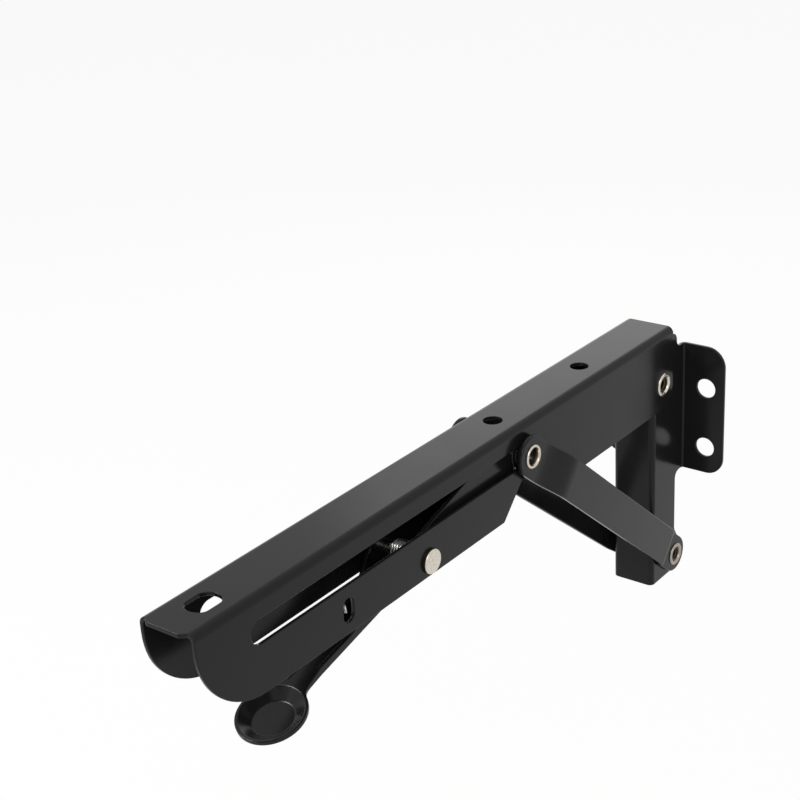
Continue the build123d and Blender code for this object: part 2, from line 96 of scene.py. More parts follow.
# Arm: its sheet, its slot's lower edge over its own, and its long hole's size and place behind the nose.
ARM_SHEET = 1.5 * MM
SLOT_EDGE = 18.35 * MM
LONG_HOLE = (13.0 * MM, 7.5 * MM)
LONG_HOLE_BACK = 17.5 * MM

# Struts: their sheet, and from the head along the strut the CAD joggle's two bends and the span of the soft one.
STRUT_SHEET = 2.0 * MM
JOGGLE_BENDS = (10.5 * MM, 25.0 * MM)
JOGGLE_SPAN = (6.5 * MM, 29.0 * MM)
JOGGLE_CUTS = 15

# Release lever: how far back its pad's pressed dish reaches, and how far the lever droops at rest.
PAD_REACH = 27.0 * MM
LEVER_DROOP = radians(13.6)

# Turned pieces: sides of the circle, and the angle up to which a turned surface is smooth.
TURNED_SIDES = 48
TURNED_ANGLE = radians(50)

# Hollow rivets: radii of shank and bore, the mouth as a share of the flare, and how far the rim is darkened towards
# the bore's dark brown and roughened.
HOLLOW_RIVETS = {
    "arm_pivot_rivet": {"shank": 2.6 * MM, "bore": 2.0 * MM, "mouth": 0.68, "rim_darkening": 0.0},
    "strut_foot_rivet": {"shank": 2.6 * MM, "bore": 2.0 * MM, "mouth": 0.66, "rim_darkening": 0.5},
    "strut_head_rivet": {"shank": 3.7 * MM, "bore": 3.1 * MM, "mouth": 0.76, "rim_darkening": 0.1},
}

# Their flare's height over the sheet, and its roll: where it starts, its steps and how far it is cut in below.
RIVET_RING = 0.7 * MM
ROLL_FOOT = 0.25 * MM
ROLL_STEPS = 10
ROLL_UNDERCUT = 0.1 * MM

# Their funnel: how far its lip stands in and down from the mouth, how deep it is, and the share of the mouth inside
# which the bore is painted dark brown, as dull steel and as painted shade.
FUNNEL_LIP = (0.2 * MM, 0.1 * MM)
FUNNEL_DEPTH = 0.9 * MM
DULL_AND_SHADED_MOUTH = 0.95

# Lever's rivet: head, pin, the crown as shares of its radius with their depth, its foot, and how deep its bright
# rim reaches; below it the sides and pin carry painted shade in dark brown.
RIVET_HEAD = 1.5 * MM
RIVET_PIN = 6.0 * MM
CROWN = (
    (0.12, 0.0), (0.55, 0.01 * MM), (0.84, 0.05 * MM), (0.92, 0.12 * MM), (0.975, 0.28 * MM), (1.0, 0.55 * MM),
)
CROWN_FOOT = 0.99
CROWN_UNSHADED = 0.4 * MM

# Spring: pitch of the coil, points to a turn and length of its foot.
COIL_PITCH = 1.2 * MM
TURN_POINTS = 14
FOOT_LEG = 17.5 * MM

# Its wire: how finely its round section is drawn, and the steps and order of its smooth line.
WIRE_ROUNDING = 2
LINE_STEPS = 3
LINE_ORDER = 3

# Its hook: the hole, forward of the lever's rivet and over the arm's lower edge, and the way in, in millimetres.
HOOK_OUT = 46.5 * MM
HOOK_UP = 8.8 * MM
HOOK_ROUTE = (
    (-10.0, -8.3, 2.0), (-3.0, -5.2, 2.4), (-0.9, -3.2, 2.1),
    (0.3, -1.7, 1.2), (0.7, -1.0, -0.2), (0.8, -0.9, -0.8),
)

# Camera: width of its sensor in millimetres, and the distances between which it sees, in metres.
SENSOR_WIDTH = 36
CAMERA_RANGE = (0.01, 50)

# Studio: place of each square lamp from the middle of the bracket and its side, in metres, and its power in watts.
LAMPS = {
    "key light": ((0.9, 1.1, 1.2), 0.9, 9.0),
    "fill light": ((0.9, -1.0, 0.9), 0.9, 2.0),
    "top light": ((-0.1, 0.0, 1.5), 1.2, 2.5),
    "edge light": ((0.5, -0.9, 1.15), 0.4, 12.0),
    "rear light": ((-1.28, -0.63, 0.48), 0.8, 1.8),
}

# Floor: the share of plain white in what the eye sees of it. The rest takes the light and the soft shadow.
FLOOR_WHITE = 0.9

WHITE = (1, 1, 1, 1)
COAT = "black powder coat"


def linear(hex_colour):
    """Linear RGBA of an sRGB hex value."""
    shares = [int(hex_colour[start : start + 2], 16) / 255 for start in (1, 3, 5)]
    return [s / 12.92 if s <= 0.04045 else ((s + 0.055) / 1.055) ** 2.4 for s in shares] + [1.0]


def per_metre(millimetres):
    """Texture scale that makes one cell of a pattern this many millimetres across."""
    return 1 / (millimetres * MM)


def add_node(tree, kind, attributes=None, values=None, links=None):
    """Adds one shader node, sets its attributes and socket values, and links its inputs."""
    node = tree.nodes.new(kind)
    for name, value in (attributes or {}).items():
        setattr(node, name, value)
    for socket, value in (values or {}).items():
        node.inputs[socket].default_value = value
    for socket, source in (links or {}).items():
        tree.links.new(source, node.inputs[socket])
    return node


def new_material(name):
    """An empty node material with its shader, its tree and its Object coordinates."""
    material = bpy.data.materials.new(name)
    material.use_nodes = True
    tree = material.node_tree
    shader = tree.nodes["Principled BSDF"]
    place = add_node(tree, "ShaderNodeTexCoord").outputs["Object"]
    return material, tree, shader, place


class CoatSettings(bpy.types.PropertyGroup):
    """Black powder coat on the folded sheet steel."""

    colour: FloatVectorProperty(
        name="Coat colour", description="Colour of the powder coat", subtype="COLOR",
        size=4, min=0, max=1, default=linear("#1a1a1b"),
    )
    roughness: FloatProperty(
        name="Roughness", description="How much the coat scatters its gloss", subtype="FACTOR",
        min=0, max=1, default=0.2,
    )
    edge: FloatProperty(
        name="Edge rounding", description="Radius that the coat gives to cut edges", subtype="DISTANCE",
        unit="LENGTH", min=0, default=0.3 * MM,
    )


class ArmSettings(bpy.types.PropertyGroup):
    """Left side and long hole of the arm."""

    far_side_lift: FloatProperty(
        name="Far side lift", description="How far the arm's left side ends above its right side",
        subtype="DISTANCE", unit="LENGTH", min=0, default=1.1 * MM,
    )
    hole_length: FloatProperty(
        name="Long hole length", description="Length of the hole near the nose, as a share of the CAD hole's",
        subtype="FACTOR", min=0.5, max=1.5, default=0.97,
    )
    hole_width: FloatProperty(
        name="Long hole width", description="Width of the hole near the nose, as a share of the CAD hole's",
        subtype="FACTOR", min=0.5, max=1.5, default=1.25,
    )
    hole_setback: FloatProperty(
        name="Long hole setback", description="How far the hole stands behind the CAD hole",
        subtype="DISTANCE", unit="LENGTH", min=0, default=0.8 * MM,
    )


class StrutSettings(bpy.types.PropertyGroup):
    """Edges of the struts."""

    edge: FloatProperty(
        name="Strut edge rounding", description="Radius of the struts' tumbled edges", subtype="DISTANCE",
        unit="LENGTH", min=0, default=0.6 * MM,
    )


class RivetSettings(bpy.types.PropertyGroup):
    """Rims and plate of the rivets."""

    roll: FloatProperty(
        name="Rolled rim height", description="How far the rolled rim stands over the sheet",
        subtype="DISTANCE", unit="LENGTH", min=0, default=0.8 * MM,
    )
    metal: FloatVectorProperty(
        name="Nickel colour", description="Colour of the bright nickel plate", subtype="COLOR",
        size=4, min=0, max=1, default=linear("#e4ddd2"),
    )
    handled: FloatVectorProperty(
        name="Handled nickel colour", description="Colour of the plate's duller spots", subtype="COLOR",
        size=4, min=0, max=1, default=linear("#b9b1a5"),
    )
    # Dark brown of the dull steel in the bores, also used as painted shade in the bores and on the lever rivet's
    # sides, and to darken the rims.
    dull_steel_and_shade: FloatVectorProperty(
        name="Bore colour", description="Colour of the dull steel inside the rivets", subtype="COLOR",
        size=4, min=0, max=1, default=linear("#4a3d2f"),
    )


class BushSettings(bpy.types.PropertyGroup):
    """Plastic bushes that slide in the slots."""

    colour: FloatVectorProperty(
        name="Bush colour", description="Colour of the moulded plastic", subtype="COLOR",
        size=4, min=0, max=1, default=linear("#131314"),
    )
    flow_colour: FloatVectorProperty(
        name="Flow mark colour", description="Colour of the plastic's flow marks", subtype="COLOR",
        size=4, min=0, max=1, default=linear("#1d1d1f"),
    )
    edge: FloatProperty(
        name="Bush edge rounding", description="Radius of the mould's edges", subtype="DISTANCE",
        unit="LENGTH", min=0, default=0.3 * MM,
    )


class SpringSettings(bpy.types.PropertyGroup):
    """Torsion spring of the release lever."""

    wire: FloatProperty(
        name="Wire", description="Diameter of the spring's wire", subtype="DISTANCE", unit="LENGTH",
        min=0, default=1.0 * MM,
    )
    radius: FloatProperty(
        name="Coil radius", description="Radius of the coil at the middle of its wire", subtype="DISTANCE",
        unit="LENGTH", min=0, default=4.4 * MM,
    )
    turns: IntProperty(name="Turns", description="Whole turns of the coil", min=1, default=6)
    colour: FloatVectorProperty(
        name="Wire colour", description="Colour of the drawn steel wire", subtype="COLOR",
        size=4, min=0, max=1, default=linear("#a4a4a2"),
    )


class CameraSettings(bpy.types.PropertyGroup):
    """Camera of the product photograph."""

    place: FloatVectorProperty(
        name="Camera place", description="Where the camera stands", subtype="TRANSLATION",
        unit="LENGTH", size=3, precision=5, default=(0.60154, 0.32679, 0.30140),
    )
    turn: FloatVectorProperty(
        name="Camera turn", description="Which way the camera looks", subtype="EULER",
        unit="ROTATION", size=3, default=[radians(a) for a in (66.6750, 3.0540, 127.2674)],
    )
    lens: FloatProperty(
        name="Focal length", description="Focal length on a 36 mm sensor", subtype="DISTANCE_CAMERA",
        min=1, default=73.17,
    )


class StageSettings(bpy.types.PropertyGroup):
    """Floor and studio light."""

    floor: FloatVectorProperty(
        name="Floor colour", description="Colour of the floor", subtype="COLOR",
        size=4, min=0, max=1, default=linear("#f4f4f2"),
    )
    floor_size: FloatProperty(
        name="Floor size", description="Side of the floor", subtype="DISTANCE",
        unit="LENGTH", min=0, default=12.0,
    )
    floor_drop: FloatProperty(
        name="Floor drop", description="Room under the bracket, in which its arm folds down",
        subtype="DISTANCE", unit="LENGTH", min=0, default=0.24,
    )
    room_light: FloatProperty(
        name="Room light", description="Strength of the light from all sides", min=0, default=0.45,
    )


class BRACKET_OT_camera(bpy.types.Operator):
    """Add the camera at the photograph's viewing angle"""

    bl_idname = "bracket.camera"
    bl_label = "Camera"

    def execute(self, context):
        settings = context.scene.bracket_camera
        bpy.ops.object.camera_add(location=settings.place, rotation=settings.turn)
        camera = context.active_object
        camera.name = "camera"
        camera.data.lens = settings.lens
        camera.data.sensor_width = SENSOR_WIDTH
        camera.data.clip_start, camera.data.clip_end = CAMERA_RANGE
        context.scene.camera = camera
        return {"FINISHED"}


class BRACKET_OT_wall_bracket(bpy.types.Operator):
    """Give the folded wall bracket its coat"""

    bl_idname = "bracket.wall_bracket"
    bl_label = "Wall bracket"

    def execute(self, context):
        piece = merged_copy(context, "wall_bracket")
        coat_sheet(context, piece, "wall_bracket", context.scene.bracket_coat.edge)
        return {"FINISHED"}


class BRACKET_OT_arm(bpy.types.Operator):
    """Shape the arm's left side and long hole, and give it its coat"""

    bl_idname = "bracket.arm"
    bl_label = "Arm"

    def execute(self, context):
        settings = context.scene.bracket_arm
        piece = merged_copy(context, "arm_channel")
        raise_far_side(piece, settings.far_side_lift)
        widen_long_hole(piece, settings)
        coat_sheet(context, piece, "arm_channel", context.scene.bracket_coat.edge)
        return {"FINISHED"}


class BRACKET_OT_struts(bpy.types.Operator):
    """Bend the struts' upper joggles, and give them their coat"""

    bl_idname = "bracket.struts"
    bl_label = "Struts"

    def execute(self, context):
        settings = context.scene.bracket_struts
        for side in SIDES:
            piece = merged_copy(context, f"strut_{side}")
            round_joggle(piece, side)
            coat_sheet(context, piece, f"strut_{side}", settings.edge)
        return {"FINISHED"}


class BRACKET_OT_release_lever(bpy.types.Operator):
    """Give the pressed release lever its coat, and leave the dish of its pad as the CAD lever has it"""

    bl_idname = "bracket.release_lever"
    bl_label = "Release lever"

    def execute(self, context):
        piece = merged_copy(context, "release_lever")
        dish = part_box("release_lever")[1].x - PAD_REACH
        select_points(piece, lambda point: point.x < dish)
        coat_sheet(context, piece, "release_lever", context.scene.bracket_coat.edge)
        return {"FINISHED"}


class BRACKET_OT_slot_washers(bpy.types.Operator):
    """Give the washers between the arm's slots and the struts their coat"""

    bl_idname = "bracket.slot_washers"
    bl_label = "Slot washers"

    def execute(self, context):
        edge = context.scene.bracket_coat.edge
        for side in SIDES:
            name = f"slot_washer_{side}"
            finish_copy(merged_copy(context, name), name, edge, shared_coat(context))
        return {"FINISHED"}


def select_points(piece, wanted):
    """Selects the points whose place passes a test, and leaves the piece in edit mode."""
    bpy.ops.object.mode_set(mode="OBJECT")
    for part in (*piece.data.edges, *piece.data.polygons):
        part.select = False
    for vertex in piece.data.vertices:
        vertex.select = wanted(vertex.co)
    if not any(vertex.select for vertex in piece.data.vertices):
        raise RuntimeError(f"{piece.name} has no points where it is to be shaped")
    bpy.ops.object.mode_set(mode="EDIT")
    bpy.ops.mesh.select_mode(type="VERT")


def merged_copy(context, name):
    """A copy of a CAD node's mesh with its loose triangles merged, selected all over in edit mode."""
    bpy.ops.object.select_all(action="DESELECT")
    piece = bpy.data.objects.new(name + "_dressed", frame["nodes"][name].data.copy())
    context.collection.objects.link(piece)
    context.view_layer.objects.active = piece
    piece.select_set(True)
    bpy.ops.mesh.customdata_custom_splitnormals_clear()
    bpy.ops.object.mode_set(mode="EDIT")
    bpy.ops.mesh.select_all(action="SELECT")
    bpy.ops.mesh.remove_doubles(threshold=MERGE_REACH)
    return piece


def raise_far_side(piece, lift):
    """Shortens the arm's left side below its slot, as the photograph shows it."""
    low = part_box("arm_channel")[0]
    slot_edge = low.z + SLOT_EDGE
    inside = low.y + ARM_SHEET + PICK_REACH
    select_points(piece, lambda point: point.y < inside and point.z < slot_edge)
    share = 1 - lift / SLOT_EDGE
    bpy.ops.transform.resize(value=(1, 1, share), center_override=(low.x, low.y, slot_edge))
    bpy.ops.mesh.select_all(action="SELECT")


def widen_long_hole(piece, settings):
    """Gives the long hole near the arm's nose its length and width, and moves it to the rear."""
    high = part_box("arm_channel")[1]
    middle = Vector((high.x - LONG_HOLE_BACK, 0, high.z))
    reach_along, reach_across = (size / 2 + PICK_REACH for size in LONG_HOLE)
    web = high.z - 2 * ARM_SHEET
    select_points(
        piece,
        lambda point: abs(point.x - middle.x) < reach_along and abs(point.y) < reach_across and point.z > web,
    )
    bpy.ops.transform.resize(value=(settings.hole_length, settings.hole_width, 1), center_override=middle)
    bpy.ops.transform.translate(value=(-settings.hole_setback, 0, 0))
    bpy.ops.mesh.select_all(action="SELECT")


def round_joggle(piece, side):
    """Gives the strut's upper joggle one long soft bend, where the CAD strut has two short ones."""
    foot, head = (sum(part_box(f"strut_{place}_rivet_{side}"), Vector()) / 2 for place in ("foot", "head"))
    foot.y = head.y = 0
    down = (foot - head).normalized()
    start, end = JOGGLE_SPAN
    for step in range(JOGGLE_CUTS + 1):
        bpy.ops.mesh.select_all(action="SELECT")
        cut = head + down * (start + (end - start) * step / JOGGLE_CUTS)
        bpy.ops.mesh.bisect(plane_co=cut, plane_no=down)
    bpy.ops.object.mode_set(mode="OBJECT")
    head_inner = min(abs(corner.y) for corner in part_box(f"strut_head_rivet_{side}"))
    middle_outer = max(abs(corner.y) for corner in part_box(f"strut_{side}"))
    rise = middle_outer - STRUT_SHEET - head_inner
    first_bend, second_bend = JOGGLE_BENDS
    for vertex in piece.data.vertices:
        along = (vertex.co - head).dot(down)
        kinked = min(max((along - first_bend) / (second_bend - first_bend), 0), 1)
        share = min(max((along - start) / (end - start), 0), 1)
        rounded = share * share * (3 - 2 * share)
        vertex.co.y += SIDES[side] * rise * (rounded - kinked)
    bpy.ops.object.mode_set(mode="EDIT")
    bpy.ops.mesh.select_all(action="SELECT")


def coat_sheet(context, piece, node, edge):
    """Joins the flat faces of a sheet part's selected points, rounds its cut edges and coats it."""
    bpy.ops.mesh.dissolve_limited(angle_limit=FLAT_ANGLE)
    finish_copy(piece, node, edge, shared_coat(context))


def finish_copy(piece, node, edge, material):
    """Rounds a merged copy's cut edges, gives it its material and lets it stand for its node."""
    bpy.ops.object.mode_set(mode="OBJECT")
    rounding = piece.modifiers.new("edge rounding", "BEVEL")
    rounding.width = edge
    rounding.segments = ROUNDING_STEPS
    rounding.limit_method = "ANGLE"
    rounding.angle_limit = CUT_ANGLE
    rounding.use_clamp_overlap = False
    rounding.miter_outer = "MITER_ARC"
    bpy.ops.object.modifier_apply(modifier=rounding.name)
    bpy.ops.object.shade_smooth_by_angle(angle=BEND_ANGLE)
    flats = piece.modifiers.new("flat faces", "WEIGHTED_NORMAL")
    flats.keep_sharp = True
    bpy.ops.object.modifier_apply(modifier=flats.name)
    stand_in(piece, node, material)


def stand_in(piece, node, material):
    """Gives a piece its one material, and lets it ride and stand for its CAD node."""
    piece.data.materials.clear()
    piece.data.materials.append(material)
    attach(piece, frame["nodes"][node]["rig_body"])
    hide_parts(node)


def shared_coat(context):
    """The one powder coat of all coated pieces, made when the first of them asks for it."""
    return bpy.data.materials.get(COAT) or powder_coat(context.scene.bracket_coat)


def powder_coat(settings):
    """Semi-gloss polyester powder coat, sprayed and baked: an even black skin with a faint orange peel."""
    material, tree, shader, place = new_material(COAT)
    shader.inputs["Base Color"].default_value = settings.colour
    # Lower than the resin's own 1.5, because the whole white studio stands in the gloss of each face.
    shader.inputs["IOR"].default_value = 1.25
    # Orange peel is 1 to 3 mm across. The powder's own grains are 0.05 mm, drawn as coarse as they need to show.
    peel = add_node(
        tree, "ShaderNodeTexNoise", values={"Scale": per_metre(1.6), "Detail": 2.0}, links={"Vector": place},
    )
    grit = add_node(
        tree, "ShaderNodeTexNoise", values={"Scale": per_metre(0.35), "Detail": 1.0}, links={"Vector": place},
    )
    # The sprayed layer is a little thicker here and thinner there, over about 22 mm, and its gloss follows.
    clouds = add_node(
        tree, "ShaderNodeTexNoise", values={"Scale": per_metre(22.0), "Detail": 3.0}, links={"Vector": place},
    )
    gloss = add_node(
        tree, "ShaderNodeMapRange",
        values={
            "From Min": 0.3, "From Max": 0.7,
            "To Min": settings.roughness - 0.04, "To Max": settings.roughness + 0.04,
        },
        links={"Value": clouds.outputs["Fac"]},
    )
    tree.links.new(gloss.outputs[0], shader.inputs["Roughness"])
    low = add_node(
        tree, "ShaderNodeBump", values={"Strength": 0.5, "Distance": 0.02 * MM},
        links={"Height": peel.outputs["Fac"]},
    )
    fine = add_node(
        tree, "ShaderNodeBump", values={"Strength": 0.4, "Distance": 0.004 * MM},
        links={"Height": grit.outputs["Fac"], "Normal": low.outputs["Normal"]},
    )
    tree.links.new(fine.outputs["Normal"], shader.inputs["Normal"])
    return material


class BRACKET_OT_rivets(bpy.types.Operator):
    """Turn the hollow rivets and the lever's solid rivet, and plate them with its sleeve and washers"""

    bl_idname = "bracket.rivets"
    bl_label = "Rivets"

    def execute(self, context):
        settings = context.scene.bracket_rivets
        nickel = bright_nickel(settings)
        for name, rivet in HOLLOW_RIVETS.items():
            for side in SIDES:
                turn_hollow_rivet(context, name, side, rivet, settings.roll, nickel)
        turn_lever_rivet(context, nickel)
        for name in ("lever_sleeve", "lever_washer_left", "lever_washer_right"):
            dress_node(name, nickel)
        return {"FINISHED"}


def turn_hollow_rivet(context, name, side, rivet, roll, nickel):
    """Turns one hollow rivet, bright at its rim and painted dark brown in its bore, as dull steel and as painted
    shade, in the place of its CAD node.
    """
    node = f"{name}_{side}"
    low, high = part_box(node)
    middle = (low + high) / 2
    start, end = sorted((abs(low.y), abs(high.y)))
    flare = (high.x - low.x) / 2
    mouth = flare * rivet["mouth"]
    rings = hollow_rings(flare, mouth, rivet["shank"], rivet["bore"], start, end - RIVET_RING, roll)
    piece = turned_shell(context, node + "_turned", middle, SIDES[side], rings, hollow=True)
    # The bore is painted dark brown, as dull steel and as painted shade, and the rim is darkened by the rivet's
    # given share.
    mark_shade_and_dullness(
        piece, middle, lambda radius, out: 1.0 if radius < mouth * DULL_AND_SHADED_MOUTH else rivet["rim_darkening"],
    )
    stand_in(piece, node, nickel)


def turn_lever_rivet(context, nickel):
    """Turns the lever's solid rivet, bright on its crowned faces, with painted shade in dark brown at its sides and
    pin.
    """
    low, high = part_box("lever_rivet")
    middle = (low + high) / 2
    rings = solid_rings((high.x - low.x) / 2, high.y)
    piece = turned_shell(context, "lever_rivet_turned", middle, 1, rings, hollow=False)
    # Below the crown, the sides and pin are painted dark brown: painted shade and painted reflection of the black
    # sheet beside the head.
    mark_shade_and_dullness(piece, middle, lambda radius, out: float(out < high.y - CROWN_UNSHADED))
    stand_in(piece, "lever_rivet", nickel)


def dress_node(name, material):
    """Puts a material on a CAD node, which stays as it is."""
    for material_slot in frame["nodes"][name].material_slots:
        material_slot.material = material


def hollow_rings(flare, mouth, shank, bore, start, seat, rise):
    """Rings (radius, distance out) of a hollow rivet, round its rolled rim and back through its bore."""
    middle, half = (flare + mouth) / 2, (flare - mouth) / 2
    turns = [pi * step / ROLL_STEPS for step in range(ROLL_STEPS + 1)]
    roll = [(middle + half * cos(turn), seat + ROLL_FOOT + (rise - ROLL_FOOT) * sin(turn)) for turn in turns]
    lip_in, lip_down = FUNNEL_LIP
    funnel = [(mouth - lip_in, seat - lip_down), (bore, seat - FUNNEL_DEPTH), (bore, start)]
    tail = [(shank, start), (shank, seat), (flare - ROLL_UNDERCUT, seat)]
    return roll + funnel + tail


def solid_rings(head, reach):
    """Rings (radius, distance out) of a solid rivet with a low crowned head at both ends."""
    seat = reach - RIVET_HEAD
    crown = [(share * head, reach - depth) for share, depth in CROWN]
    near = crown + [(CROWN_FOOT * head, seat), (RIVET_PIN / 2, seat)]
    return near + [(radius, -out) for radius, out in reversed(near)]


def turned_shell(context, name, middle, outward, rings, hollow):
    """A closed turned piece across the bracket: a circle that is extruded from ring to ring.

    A hollow piece is closed from its last ring to its first, and a solid one by a face at each end.
    """
    bpy.ops.object.select_all(action="DESELECT")
    radius, out = rings[0]
    bpy.ops.mesh.primitive_circle_add(
        vertices=TURNED_SIDES, radius=radius, location=(middle.x, outward * out, middle.z),
        rotation=(pi / 2, 0, 0),
    )
    piece = context.active_object
    piece.name = name
    bpy.ops.object.transform_apply(location=True, rotation=True, scale=True)
    bpy.ops.object.mode_set(mode="EDIT")
    bpy.ops.mesh.select_all(action="SELECT")
    for next_radius, next_out in rings[1:]:
        bpy.ops.mesh.extrude_edges_move(TRANSFORM_OT_translate={"value": (0, outward * (next_out - out), 0)})
        share = next_radius / radius
        bpy.ops.transform.resize(
            value=(share, 1, share), center_override=(middle.x, outward * next_out, middle.z),
        )
        radius, out = next_radius, next_out
    bpy.ops.mesh.select_all(action="DESELECT")
    bpy.ops.mesh.select_mode(type="EDGE")
    bpy.ops.mesh.select_non_manifold(extend=False)
    if hollow:
        bpy.ops.mesh.bridge_edge_loops()
    else:
        bpy.ops.mesh.fill_holes(sides=0)
    bpy.ops.mesh.select_all(action="SELECT")
    bpy.ops.mesh.normals_make_consistent(inside=False)
    bpy.ops.object.mode_set(mode="OBJECT")
    bpy.ops.object.shade_smooth_by_angle(angle=TURNED_ANGLE)
    return piece


def mark_shade_and_dullness(piece, middle, shade_and_dullness):
    """Writes at each point how far the plate is painted dark brown and roughened, for dull steel and painted shade,
    from its radius round the rivet and its distance out.
    """
    marks = piece.data.attributes.new("shade_and_dullness", "FLOAT", "POINT")
    for vertex, mark in zip(piece.data.vertices, marks.data):
        radius = Vector((vertex.co.x - middle.x, vertex.co.z - middle.z)).length
        mark.value = shade_and_dullness(radius, abs(vertex.co.y))


def bright_nickel(settings):
    """Electroplated nickel on a formed steel rivet: bright and slightly warm, dull and dark brown in the bore,
    where the brown is also painted shade, and painted shade on the lever rivet's sides.
    """
    material, tree, shader, place = new_material("bright nickel plate")
    shader.inputs["Metallic"].default_value = 1.0
    # Dents and duller spots from the setting tool are about 1 mm across.
    marks = add_node(
        tree, "ShaderNodeTexNoise", values={"Scale": per_metre(1.1), "Detail": 3.0}, links={"Vector": place},
    )
    # Where this mark is set the plate turns dark brown and rougher: dull steel and painted shade.
    bore = add_node(tree, "ShaderNodeAttribute", {"attribute_name": "shade_and_dullness"})
    tint = add_node(
        tree, "ShaderNodeMix", {"data_type": "RGBA"}, {6: settings.metal, 7: settings.handled},
        {0: marks.outputs["Fac"]},
    )
    colour = add_node(
        tree, "ShaderNodeMix", {"data_type": "RGBA"}, {7: settings.dull_steel_and_shade},
        {0: bore.outputs["Fac"], 6: tint.outputs[2]},
    )
    tree.links.new(colour.outputs[2], shader.inputs["Base Color"])
    gloss = add_node(
        tree, "ShaderNodeMapRange", values={"To Min": 0.12, "To Max": 0.3},
        links={"Value": marks.outputs["Fac"]},
    )
    dull = add_node(
        tree, "ShaderNodeMath", {"operation": "MULTIPLY_ADD", "use_clamp": True}, {1: 0.25},
        {0: bore.outputs["Fac"], 2: gloss.outputs[0]},
    )
    tree.links.new(dull.outputs[0], shader.inputs["Roughness"])
    dents = add_node(
        tree, "ShaderNodeBump", values={"Strength": 0.6, "Distance": 0.05 * MM},
        links={"Height": marks.outputs["Fac"]},
    )
    tree.links.new(dents.outputs["Normal"], shader.inputs["Normal"])
    return material


class BRACKET_OT_bushes(bpy.types.Operator):
    """Give the bushes that slide in the slots their moulded plastic"""

    bl_idname = "bracket.bushes"
    bl_label = "Slot bushes"

    def execute(self, context):
        settings = context.scene.bracket_bushes
        acetal = black_acetal(settings)
        for side in SIDES:
            name = f"slot_bush_{side}"
            finish_copy(merged_copy(context, name), name, settings.edge, acetal)
        return {"FINISHED"}


def black_acetal(settings):
    """Moulded black acetal: dense and waxy, with a soft sheen and the faint flow marks of the mould."""
    material, tree, shader, place = new_material("moulded black acetal")
    shader.inputs["IOR"].default_value = 1.45
    # Flow marks in a part of this size are 2 to 3 mm apart.
    flow = add_node(
        tree, "ShaderNodeTexNoise", values={"Scale": per_metre(2.5), "Detail": 2.0, "Distortion": 1.5},
        links={"Vector": place},
    )
    colour = add_node(
        tree, "ShaderNodeMix", {"data_type": "RGBA"}, {6: settings.colour, 7: settings.flow_colour},
        {0: flow.outputs["Fac"]},
    )
    tree.links.new(colour.outputs[2], shader.inputs["Base Color"])
    gloss = add_node(
        tree, "ShaderNodeMapRange", values={"To Min": 0.2, "To Max": 0.34},
        links={"Value": flow.outputs["Fac"]},
    )
    tree.links.new(gloss.outputs[0], shader.inputs["Roughness"])
    return material


class BRACKET_OT_spring(bpy.types.Operator):
    """Wind the lever's torsion spring, with one leg on the lever's floor and one hooked in the arm's side"""

    bl_idname = "bracket.spring"
    bl_label = "Lever spring"

    def execute(self, context):
        settings = context.scene.bracket_spring
        steel = drawn_wire(settings)
        leg, coil = spring_routes(settings)
        piece = bent_wire(context, "lever_spring_wound", coil, settings.wire)
        stand_in(piece, "lever_spring", steel)
        foot = bent_wire(context, "lever_spring_foot", leg, settings.wire)
        foot.data.materials.append(steel)
        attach(foot, "lever")
        return {"FINISHED"}


def spring_routes(settings):
    """Points of the spring's wire: its foot on the lever, and its coil round the sleeve with the hook."""
    low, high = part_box("lever_sleeve")
    pivot = (low + high) / 2
    forward = Vector((cos(LEVER_DROOP), 0, -sin(LEVER_DROOP)))
    upward = Vector((sin(LEVER_DROOP), 0, cos(LEVER_DROOP)))
    half_coil = settings.turns * COIL_PITCH / 2
    foot = pivot - upward * settings.radius - Vector((0, half_coil, 0))
    leg = [foot + forward * FOOT_LEG * share for share in (1, 0.5, 0)]
    sweep = 2 * pi * settings.turns + pi - LEVER_DROOP
    steps = settings.turns * TURN_POINTS + TURN_POINTS // 2
    coil = []
    for step in range(steps + 1):
        turn = sweep * step / steps
        around = -upward * cos(turn) - forward * sin(turn)
        across = half_coil * (2 * step / steps - 1)
        coil.append(pivot + around * settings.radius + Vector((0, across, 0)))
    arm_low, arm_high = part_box("arm_channel")
    hole = Vector((pivot.x + HOOK_OUT, arm_high.y, arm_low.z + HOOK_UP))
    return leg, coil + [hole + Vector(place) * MM for place in HOOK_ROUTE]


def bent_wire(context, name, route, wire):
    """A round wire along a smooth line through its points, as a mesh."""
    curve = bpy.data.curves.new(name, "CURVE")
    curve.dimensions = "3D"
    curve.bevel_depth = wire / 2
    curve.bevel_resolution = WIRE_ROUNDING
    curve.resolution_u = LINE_STEPS
    curve.use_fill_caps = True
    line = curve.splines.new("NURBS")
    line.points.add(len(route) - 1)
    for point, place in zip(line.points, route):
        point.co = (*place, 1)
    line.order_u = LINE_ORDER
    line.use_endpoint_u = True
    piece = bpy.data.objects.new(name, curve)
    context.collection.objects.link(piece)
    bpy.ops.object.select_all(action="DESELECT")
    context.view_layer.objects.active = piece
    piece.select_set(True)
    bpy.ops.object.convert(target="MESH")
    bpy.ops.object.shade_smooth_by_angle(angle=TURNED_ANGLE)
    return context.active_object


def drawn_wire(settings):
    """Bright drawn spring steel: a grey metal with faint die marks, more even than the nickel."""
    material, tree, shader, place = new_material("bright drawn spring wire")
    shader.inputs["Base Color"].default_value = settings.colour
    shader.inputs["Metallic"].default_value = 1.0
    # Marks of the die are hundredths of a millimetre apart, and are drawn 1 mm apart, so that they show.
    marks = add_node(
        tree, "ShaderNodeTexNoise", values={"Scale": per_metre(1.0), "Detail": 2.0}, links={"Vector": place},
    )
    gloss = add_node(
        tree, "ShaderNodeMapRange", values={"To Min": 0.2, "To Max": 0.3},
        links={"Value": marks.outputs["Fac"]},
    )
    tree.links.new(gloss.outputs[0], shader.inputs["Roughness"])
    return material


